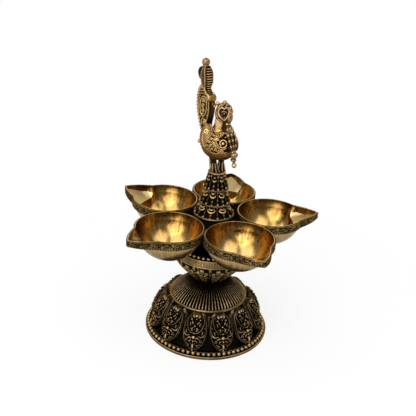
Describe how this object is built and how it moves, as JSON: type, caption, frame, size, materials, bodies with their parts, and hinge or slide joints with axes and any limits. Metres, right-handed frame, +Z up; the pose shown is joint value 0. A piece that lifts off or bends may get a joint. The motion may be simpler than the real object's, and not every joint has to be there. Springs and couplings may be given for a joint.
{
  "type": "aarti lamp",
  "caption": "Free-standing brass aarti lamp: a petalled foot, ribbed dome and cup carry a ring of spouted oil bowls round a tiered column with a peacock on top.",
  "frame": {"origin": "on the lamp's axis in the plane of the flat ring that the foot stands on", "axes": "+Z up along the axis; bowl_1 points to -Y"},
  "size_m": [0.1576, 0.1501, 0.2182],
  "materials": {
    "antique_brass": "antique: dark brown patina in the recesses, rubbed bright on the high places",
    "worn_brass": "rubbed satin with dark patina in the gaps",
    "dark_brass": "near-black patina",
    "polished_brass": "polished inside, satin outside, with light tarnish",
    "rod_steel": "plain zinc-plated steel"
  },
  "bodies": {
    "root": {"lotus_base": "antique_brass", "foot_beads": "worn_brass", "fluted_dome": "antique_brass", "lotus_cup": "antique_brass", "cup_beads": "worn_brass", "bowl_carrier": "dark_brass", "tiered_column": "antique_brass", "tie_rod": "rod_steel", "clamp_plate": "dark_brass", "tie_nut": "rod_steel", "finial_stud": "rod_steel", "peacock_body": "antique_brass", "peacock_tail": "antique_brass", "bead_strand": "worn_brass", "bowl_1": "polished_brass", "bowl_2": "polished_brass", "bowl_3": "polished_brass", "bowl_4": "polished_brass", "bowl_5": "polished_brass"}
  },
  "joints": []
}
